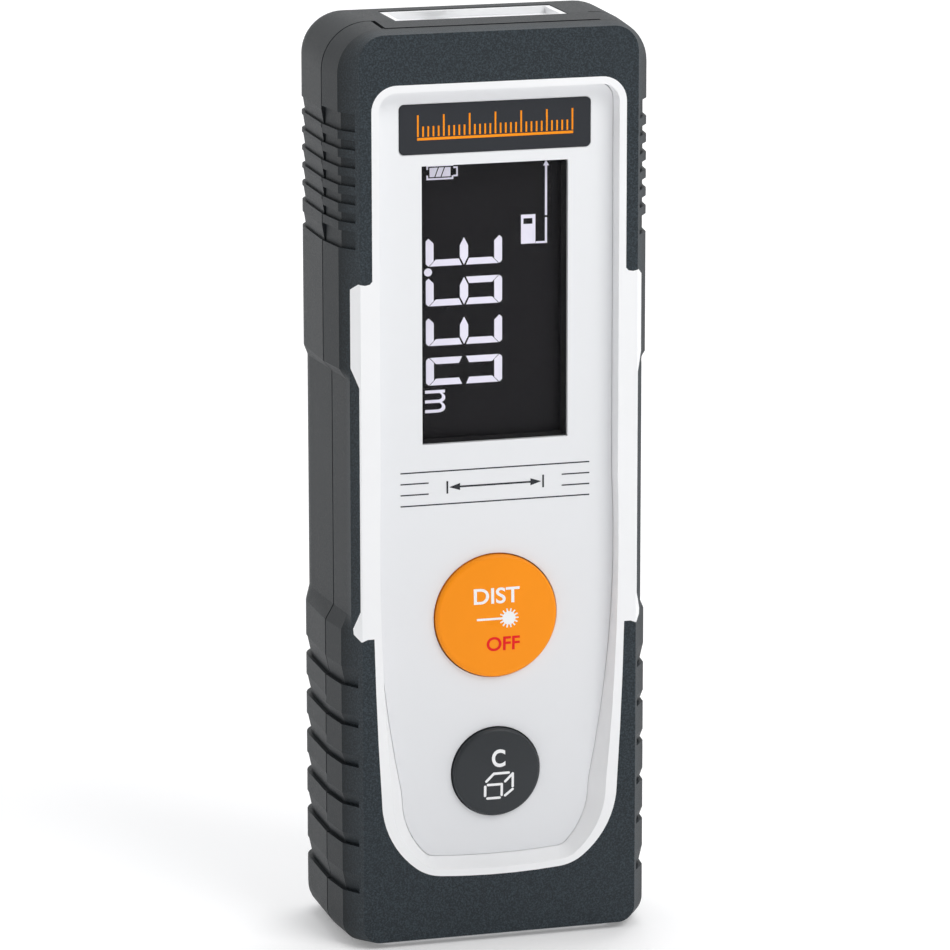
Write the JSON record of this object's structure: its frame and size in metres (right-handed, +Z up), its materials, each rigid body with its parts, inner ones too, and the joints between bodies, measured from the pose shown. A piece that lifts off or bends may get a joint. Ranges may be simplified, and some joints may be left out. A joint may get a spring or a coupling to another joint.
{
  "type": "laser distance meter",
  "caption": "Handheld laser distance meter: two-part case with ribbed soft grip, sunk face with display, two sprung round keys, hinged battery cover and optics under a white top inset.",
  "frame": {"origin": "middle of the bounding box's lowest face, on the measuring face of the base plate", "axes": "+Z up to the optics, -Y out of the face with the display and keys, +X across the width"},
  "size_m": [0.0384, 0.0216, 0.1097],
  "materials": {
    "white_shell": "white moulded ABS, fine satin",
    "soft_grip": "slate grey soft overmould, spark-eroded grain",
    "dark_shell": "dark moulded plastic",
    "cover_plastic": "slate grey moulded plastic, fine grain",
    "face_grey": "printed light grey film face, silk matt",
    "name_black": "printed dark film",
    "clear_pane": "clear moulded pane",
    "black_foam": "black foam gasket",
    "display_black": "dark negative display",
    "light_guide": "milky light guide",
    "orange_key": "orange soft-touch key",
    "dark_key": "dark soft-touch key",
    "spring_steel": "nickel-plated spring steel",
    "board_green": "green solder mask",
    "chip_black": "moulded chip package",
    "part_tan": "ceramic chip body",
    "can_metal": "plated metal can",
    "cell_jacket": "printed battery sleeve",
    "lead_red": "insulated leads",
    "lens_glass": "coated lens",
    "barrel_brass": "turned brass",
    "screw_steel": "blackened steel screws"
  },
  "bodies": {
    "case": {"front_shell": "white_shell", "optic_inset": "white_shell", "base_plate": "white_shell", "display_holder": "white_shell", "front_grip": "soft_grip", "rear_grip": "soft_grip", "rear_shell": "dark_shell", "optics_chassis": "dark_shell", "display_connector": "dark_shell", "keypad_mat": "dark_shell", "face_plate": "face_grey", "nameplate": "name_black", "rear_label": "name_black", "display_window": "clear_pane", "receiver_window": "clear_pane", "laser_window": "clear_pane", "display_gasket": "black_foam", "display_glass": "display_black", "display_backlight": "light_guide", "measure_dome": "spring_steel", "clear_dome": "spring_steel", "contact_bridge": "spring_steel", "contact_positive": "spring_steel", "contact_negative": "spring_steel", "lower_spring": "spring_steel", "upper_spring": "spring_steel", "shield_can": "spring_steel", "main_board": "board_green", "sensor_board": "board_green", "processor": "chip_black", "driver_chip": "chip_black", "buzzer": "chip_black", "resistors": "chip_black", "capacitors": "part_tan", "crystal": "can_metal", "photodiode": "can_metal", "laser_diode": "can_metal", "left_cell": "cell_jacket", "right_cell": "cell_jacket", "battery_leads": "lead_red", "receiver_lens": "lens_glass", "collimator_lens": "lens_glass", "laser_barrel": "barrel_brass", "housing_screws": "screw_steel", "board_screws": "screw_steel", "chassis_screws": "screw_steel"},
    "measure_key": {"measure_button": "orange_key"},
    "clear_key": {"clear_button": "dark_key"},
    "battery_lid": {"battery_cover": "cover_plastic"}
  },
  "joints": [
    {"name": "measure_button_press", "type": "slide", "parent": "case", "child": "measure_key", "axis": [0, 1, 0], "range_m": [0, 0.0005], "stiffness_N_per_m": 1500, "springref_m": -0.0006},
    {"name": "clear_button_press", "type": "slide", "parent": "case", "child": "clear_key", "axis": [0, 1, 0], "range_m": [0, 0.0005], "stiffness_N_per_m": 1500, "springref_m": -0.0006},
    {"name": "battery_cover_swing", "type": "hinge", "parent": "case", "child": "battery_lid", "pos_m": [0, 0.01075, 0.012], "axis": [-1, 0, 0], "range_deg": [0, 65]}
  ]
}
